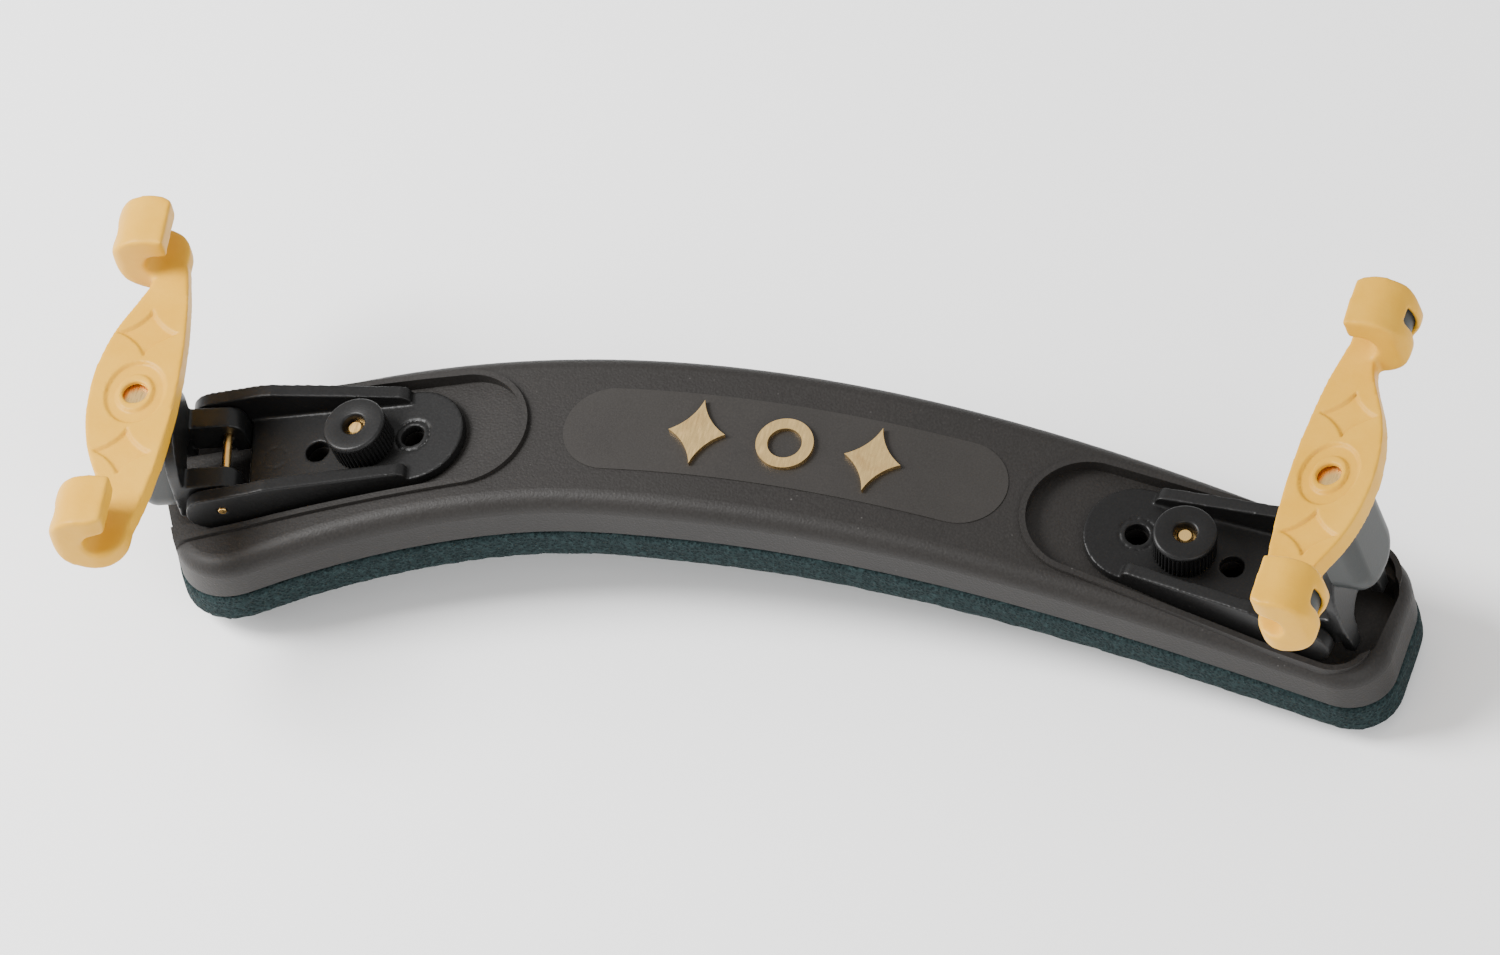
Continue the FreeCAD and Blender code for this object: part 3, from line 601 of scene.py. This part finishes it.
def ribbed_ring_tree():
    """Repeats one upright rib round a circle and joins the ribs to the body it is given."""
    tree = bpy.data.node_groups.new("ribbed_ring", "GeometryNodeTree")
    sockets = (("Geometry", "NodeSocketGeometry"), ("Count", "NodeSocketInt"),
               ("Ring Radius", "NodeSocketFloat"), ("Rib Radius", "NodeSocketFloat"),
               ("Rib Height", "NodeSocketFloat"),
               ("Rib Middle", "NodeSocketVector"), ("Material", "NodeSocketMaterial"))
    for label, kind in sockets:
        tree.interface.new_socket(label, in_out="INPUT", socket_type=kind)
    tree.interface.new_socket("Geometry", in_out="OUTPUT", socket_type="NodeSocketGeometry")
    given = tree.nodes.new("NodeGroupInput")
    ring = tree.nodes.new("GeometryNodeMeshCircle")
    rib = tree.nodes.new("GeometryNodeMeshCylinder")
    rib.inputs["Vertices"].default_value = 10
    spread = tree.nodes.new("GeometryNodeInstanceOnPoints")
    lift = tree.nodes.new("GeometryNodeTransform")
    plain = tree.nodes.new("GeometryNodeRealizeInstances")
    join = tree.nodes.new("GeometryNodeJoinGeometry")
    painted = tree.nodes.new("GeometryNodeSetMaterial")
    out = tree.nodes.new("NodeGroupOutput")
    link(tree, given.outputs["Count"], ring.inputs["Vertices"])
    link(tree, given.outputs["Ring Radius"], ring.inputs["Radius"])
    link(tree, given.outputs["Rib Radius"], rib.inputs["Radius"])
    link(tree, given.outputs["Rib Height"], rib.inputs["Depth"])
    link(tree, ring.outputs["Mesh"], spread.inputs["Points"])
    link(tree, rib.outputs["Mesh"], spread.inputs["Instance"])
    link(tree, spread.outputs["Instances"], lift.inputs["Geometry"])
    link(tree, given.outputs["Rib Middle"], lift.inputs["Translation"])
    link(tree, lift.outputs["Geometry"], join.inputs["Geometry"])
    link(tree, given.outputs["Geometry"], join.inputs["Geometry"])
    link(tree, join.outputs["Geometry"], plain.inputs["Geometry"])
    link(tree, plain.outputs["Geometry"], painted.inputs["Geometry"])
    link(tree, given.outputs["Material"], painted.inputs["Material"])
    link(tree, painted.outputs["Geometry"], out.inputs["Geometry"])
    return tree


def lathe(name, profile, steps):
    """A closed ring swept from a profile of radius and height pairs, given anticlockwise."""
    points = []
    faces = []
    for i in range(steps):
        angle = 2.0 * math.pi * i / steps
        points += [(radius * math.cos(angle), radius * math.sin(angle), z) for radius, z in profile]
    count = len(profile)
    for i in range(steps):
        here = i * count
        there = (i + 1) % steps * count
        for j in range(count):
            k = (j + 1) % count
            faces.append((here + j, there + j, there + k, here + k))
    mesh = bpy.data.meshes.new(name)
    mesh.from_pydata(points, [], faces)
    mesh.polygons.foreach_set("use_smooth", [True] * len(mesh.polygons))
    return mesh


def nut_profile():
    """Half section of the nut, from the bottom of its bore outward and round."""
    ribbed = NUT_RADIUS - RIB_RADIUS * 1.3
    land = NUT_HEIGHT - NUT_LAND
    profile = [(NUT_BORE, NUT_BOTTOM), (ribbed - 0.2 * MM, NUT_BOTTOM), (ribbed, NUT_BOTTOM + 0.2 * MM),
               (ribbed, land - 0.05 * MM), (ribbed + 0.02 * MM, land), (NUT_RADIUS - 0.05 * MM, land),
               (NUT_RADIUS, land + 0.05 * MM)]
    for i in range(6):
        angle = math.pi / 2 * i / 5
        profile.append((NUT_RADIUS - NUT_EDGE * (1.0 - math.cos(angle)),
                        NUT_HEIGHT - NUT_EDGE * (1.0 - math.sin(angle))))
    profile += [(NUT_BORE + 0.45 * MM, NUT_HEIGHT), (NUT_BORE + 0.12 * MM, NUT_HEIGHT - 0.10 * MM),
                (NUT_BORE, NUT_HEIGHT - 0.40 * MM)]
    return profile


def make_thumb_nut(side, tree):
    """The nut's lathed body with its ribs, built upright and then set on its stud."""
    piece = add_piece("nut_moulding_" + side, lathe("nut_body_" + side, nut_profile(), 96))
    modifier = piece.modifiers.new("ribs", "NODES")
    modifier.node_group = tree
    height = NUT_HEIGHT - NUT_LAND - NUT_BOTTOM - 0.1 * MM
    values = {"Count": RIB_COUNT, "Ring Radius": NUT_RADIUS - RIB_RADIUS * 1.1, "Rib Radius": RIB_RADIUS,
              "Rib Height": height, "Rib Middle": (0.0, 0.0, NUT_BOTTOM + height / 2),
              "Material": FINISHES["nut_plastic"]}
    identifiers = {item.name: item.identifier for item in tree.interface.items_tree
                   if item.in_out == "INPUT"}
    for label, value in values.items():
        modifier[identifiers[label]] = value
    apply_modifiers(piece)
    nut = joints["nut_turn_" + side]
    axis = Vector(nut["axis"]).normalized()
    turn = axis.to_track_quat("Z", "Y").to_matrix().to_4x4()
    foot = Vector(nut["pos_m"]) - axis * NUT_HEIGHT
    piece.data.transform(Matrix.Translation(foot) @ turn)
    finish_piece(piece, "nut_plastic", "nut_" + side, "thumb_nut_" + side)


# ---------------------------------------------------------------- build
view_target = make_camera()
make_studio(view_target)
finish_cad_nodes()
make_foam_pad()
make_moulded_parts()
rib_tree = ribbed_ring_tree()
for side in SIDES:
    make_fork_cover(side)
    make_thumb_nut(side, rib_tree)
